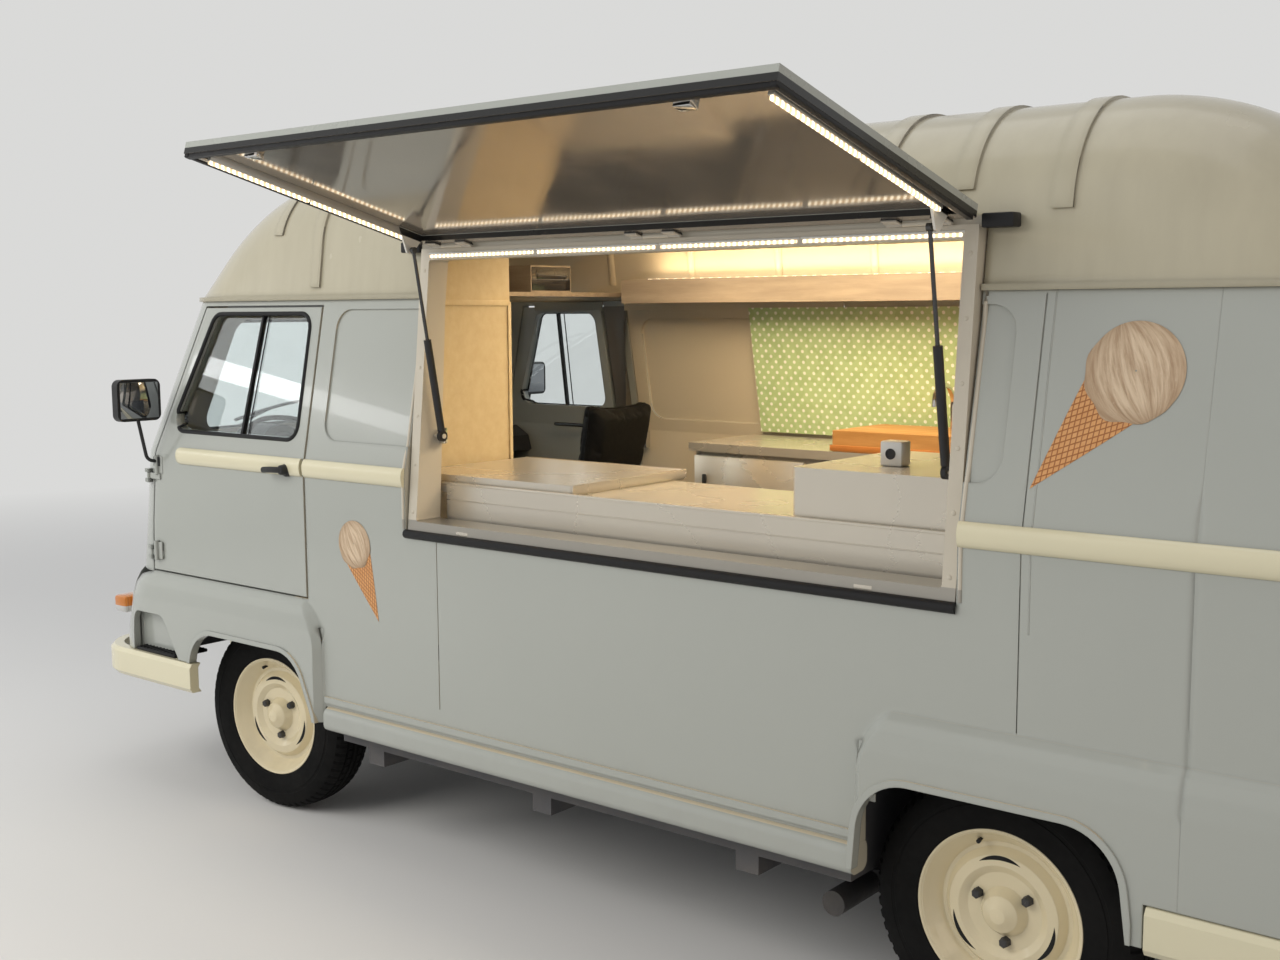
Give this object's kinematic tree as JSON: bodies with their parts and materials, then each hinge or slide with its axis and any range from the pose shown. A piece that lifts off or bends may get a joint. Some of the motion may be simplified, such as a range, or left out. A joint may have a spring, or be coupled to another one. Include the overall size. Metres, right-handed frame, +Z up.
{
  "type": "ice cream truck",
  "caption": "High-roofed forward-control van fitted out to sell ice cream, with a lifting serving hatch, steered front wheels, cab doors and a split tailgate.",
  "frame": {"origin": "middle of the whole vehicle's footprint on the ground, with the serving hatch open", "axes": "+X towards the front, +Y to the vehicle's left, where the serving hatch is, +Z up"},
  "size_m": [4.5348, 2.6555, 2.145],
  "materials": {
    "body_paint": "gloss pale blue-grey",
    "cream_paint": "gloss cream",
    "roof_shell": "off-white moulded shell",
    "floor_metal": "dark underbody paint",
    "stainless": "polished sheet",
    "aluminium": "satin",
    "iron": "dull",
    "tyre": "matt black",
    "black_plastic": "satin",
    "seat_vinyl": "black vinyl",
    "glass": "clear",
    "lamp_glass": "fluted",
    "orange_lens": "clear orange",
    "red_lens": "clear red",
    "wood": "oiled",
    "wood_trim": "laminate",
    "green_panel": "green with white dots",
    "panel_board": "painted board"
  },
  "bodies": {
    "van": {"back_counter": "stainless", "bumpers": "cream_paint", "cab_floor": "floor_metal", "chopping_board": "wood", "dashboard": "black_plastic", "engine": "iron", "exhaust": "iron", "floor": "floor_metal", "front_axle": "iron", "fuel_tank": "floor_metal", "grille": "aluminium", "hatch_frame": "aluminium", "headlamps": "lamp_glass", "indicators": "orange_lens", "left_side": "body_paint", "load_door": "body_paint", "nose": "body_paint", "partition": "panel_board", "pelmet": "wood_trim", "rear_axle": "iron", "rear_frame": "body_paint", "right_side": "body_paint", "roof": "roof_shell", "seats": "seat_vinyl", "serving_counter": "stainless", "splash_panel": "green_panel", "steering_wheel": "black_plastic", "tail_lamps": "red_lens", "windscreen": "glass"},
    "left_knuckle": {"left_knuckle": "iron"},
    "right_knuckle": {"right_knuckle": "iron"},
    "front_left_wheel": {"front_left_rim": "cream_paint", "front_left_tyre": "tyre"},
    "front_right_wheel": {"front_right_rim": "cream_paint", "front_right_tyre": "tyre"},
    "rear_left_wheel": {"rear_left_rim": "cream_paint", "rear_left_tyre": "tyre"},
    "rear_right_wheel": {"rear_right_rim": "cream_paint", "rear_right_tyre": "tyre"},
    "driver_door": {"driver_door": "body_paint", "driver_door_glass": "glass", "driver_mirror": "black_plastic"},
    "passenger_door": {"passenger_door": "body_paint", "passenger_door_glass": "glass", "passenger_mirror": "black_plastic"},
    "tailgate": {"tailgate": "body_paint", "tailgate_glass": "glass"},
    "left_rear_door": {"left_rear_door": "body_paint"},
    "right_rear_door": {"right_rear_door": "body_paint"},
    "hatch_lid": {"hatch_lid": "stainless"},
    "front_strut_cylinder": {"front_strut_cylinder": "black_plastic"},
    "front_strut_rod": {"front_strut_rod": "stainless"},
    "rear_strut_cylinder": {"rear_strut_cylinder": "black_plastic"},
    "rear_strut_rod": {"rear_strut_rod": "stainless"}
  },
  "joints": [
    {"name": "left_steer", "type": "hinge", "parent": "van", "child": "left_knuckle", "pos_m": [1.33, 0.385, 0.322], "axis": [0, 0, 1], "range_deg": [-35, 25]},
    {"name": "right_steer", "type": "hinge", "parent": "van", "child": "right_knuckle", "pos_m": [1.33, -0.925, 0.322], "axis": [0, 0, 1], "range_deg": [-35, 25]},
    {"name": "front_left_spin", "type": "hinge", "parent": "left_knuckle", "child": "front_left_wheel", "pos_m": [1.33, 0.385, 0.322], "axis": [-0.0872, 0.9962, 0], "continuous": true},
    {"name": "rear_left_spin", "type": "hinge", "parent": "van", "child": "rear_left_wheel", "pos_m": [-1.32, 0.385, 0.322], "axis": [0, 1, 0], "continuous": true},
    {"name": "front_right_spin", "type": "hinge", "parent": "right_knuckle", "child": "front_right_wheel", "pos_m": [1.33, -0.925, 0.322], "axis": [-0.0872, 0.9962, 0], "continuous": true},
    {"name": "rear_right_spin", "type": "hinge", "parent": "van", "child": "rear_right_wheel", "pos_m": [-1.32, -0.925, 0.322], "axis": [0, 1, 0], "continuous": true},
    {"name": "driver_door_hinge", "type": "hinge", "parent": "van", "child": "driver_door", "pos_m": [1.827, 0.636, 1], "axis": [0, 0, -1], "range_deg": [0, 70]},
    {"name": "passenger_door_hinge", "type": "hinge", "parent": "van", "child": "passenger_door", "pos_m": [1.827, -1.176, 1], "axis": [0, 0, 1], "range_deg": [0, 70]},
    {"name": "tailgate_hinge", "type": "hinge", "parent": "van", "child": "tailgate", "pos_m": [-2.134, -0.27, 1.663], "axis": [0, 1, 0], "range_deg": [0, 95]},
    {"name": "left_rear_door_hinge", "type": "hinge", "parent": "van", "child": "left_rear_door", "pos_m": [-2.194, 0.433, 0.83], "axis": [0, 0, -1], "range_deg": [0, 90]},
    {"name": "right_rear_door_hinge", "type": "hinge", "parent": "van", "child": "right_rear_door", "pos_m": [-2.194, -0.973, 0.83], "axis": [0, 0, 1], "range_deg": [0, 90]},
    {"name": "hatch_lid_hinge", "type": "hinge", "parent": "van", "child": "hatch_lid", "pos_m": [-0.37, 0.555, 1.868], "axis": [-1, 0, 0], "range_deg": [0, 98.98]},
    {"name": "front_strut_swing", "type": "hinge", "parent": "van", "child": "front_strut_cylinder", "pos_m": [0.44, 0.542, 1.32], "axis": [1, 0, 0], "range_deg": [-0.05, 11.8]},
    {"name": "front_strut_slide", "type": "slide", "parent": "front_strut_cylinder", "child": "front_strut_rod", "axis": [0, 0.1753, 0.9845], "range_m": [-0.07344, 0.0002]},
    {"name": "rear_strut_swing", "type": "hinge", "parent": "van", "child": "rear_strut_cylinder", "pos_m": [-1.18, 0.542, 1.32], "axis": [1, 0, 0], "range_deg": [-0.05, 11.8]},
    {"name": "rear_strut_slide", "type": "slide", "parent": "rear_strut_cylinder", "child": "rear_strut_rod", "axis": [0, 0.1753, 0.9845], "range_m": [-0.07344, 0.0002]}
  ],
  "couplings": [
    {"joint": "right_steer", "follows": "left_steer", "ratio": 1},
    {"joint": "front_strut_swing", "follows": "hatch_lid_hinge", "ratio": 0.11868},
    {"joint": "front_strut_slide", "follows": "hatch_lid_hinge", "m_per_rad": -0.042394},
    {"joint": "rear_strut_swing", "follows": "hatch_lid_hinge", "ratio": 0.11868},
    {"joint": "rear_strut_slide", "follows": "hatch_lid_hinge", "m_per_rad": -0.042394}
  ]
}
